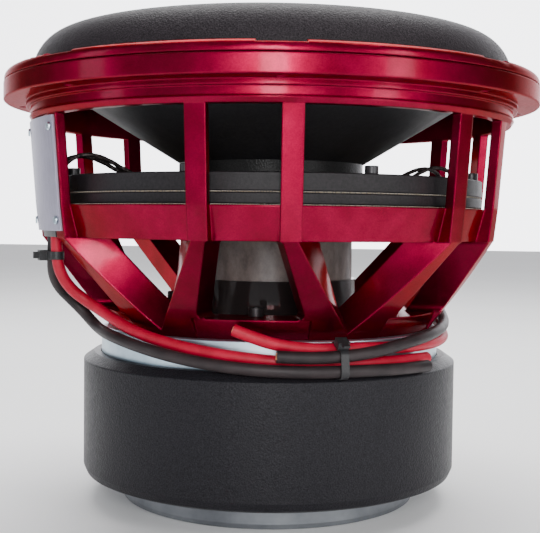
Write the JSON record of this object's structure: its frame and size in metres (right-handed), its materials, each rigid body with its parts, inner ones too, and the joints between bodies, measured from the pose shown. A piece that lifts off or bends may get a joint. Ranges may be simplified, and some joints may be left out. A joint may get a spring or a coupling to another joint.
{
  "type": "car subwoofer speaker",
  "caption": "Round long-throw car subwoofer: tall half-roll surround over a deep spoked red basket with V legs, on a stacked magnet in a rubber boot.",
  "frame": {"origin": "centre of the back plate's bottom face", "axes": "+Z along the cone's travel, from the magnet towards the cone; -Y is the side where the loose leads end"},
  "size_m": [0.324, 0.324, 0.278],
  "materials": {
    "red_cast": "candy red metallic",
    "red_trim": "candy red metallic",
    "badge_white": "brushed, pale",
    "rubber": "matte",
    "boot_rubber": "matte",
    "spider_cloth": "woven",
    "ring_black": "matte",
    "bolt_black": "black oxide",
    "cone_black": "pressed paper",
    "cap_black": "gloss",
    "former_glass": "glass fibre",
    "winding_black": "varnished wire",
    "glue_black": "satin",
    "zinc_steel": "zinc plated",
    "ferrite": "matte",
    "pole_steel": "machined",
    "copper": "bright copper",
    "screen_black": "painted mesh",
    "terminal_black": "moulded",
    "lug_brass": "plated",
    "lead_red": "soft matte",
    "lead_black": "soft matte",
    "tinsel": "braided",
    "nylon_black": "moulded"
  },
  "bodies": {
    "frame": {"basket": "red_cast", "trim_ring": "red_trim", "badge_plate": "badge_white", "badge_rivets": "zinc_steel", "surround": "rubber", "spider_upper": "spider_cloth", "spider_lower": "spider_cloth", "spider_spacer_ring": "ring_black", "spider_clamp_ring": "ring_black", "spider_bolts": "bolt_black", "base_bolts": "bolt_black", "magnet_1": "ferrite", "magnet_2": "ferrite", "magnet_3": "ferrite", "top_plate": "zinc_steel", "back_plate": "zinc_steel", "pole_piece": "pole_steel", "shorting_ring": "copper", "vent_screen": "screen_black", "magnet_boot": "boot_rubber", "terminal_left": "terminal_black", "terminal_right": "terminal_black", "terminal_lugs": "lug_brass", "lead_left_red": "lead_red", "lead_left_black": "lead_black", "lead_right_red": "lead_red", "lead_right_black": "lead_black", "tinsel_left_front": "tinsel", "tinsel_left_rear": "tinsel", "tinsel_right_front": "tinsel", "tinsel_right_rear": "tinsel", "zip_tie_front": "nylon_black", "zip_tie_left": "nylon_black"},
    "cone_assembly": {"cone": "cone_black", "dust_cap": "cap_black", "neck_collar": "glue_black", "coil_former": "former_glass", "coil_winding": "winding_black"}
  },
  "joints": [
    {"name": "cone_travel", "type": "slide", "parent": "frame", "child": "cone_assembly", "axis": [0, 0, 1], "range_m": [-0.025, 0.025], "stiffness_N_per_m": 6000, "deforming": ["surround", "spider_upper", "spider_lower", "tinsel_left_front", "tinsel_left_rear", "tinsel_right_front", "tinsel_right_rear"]}
  ]
}
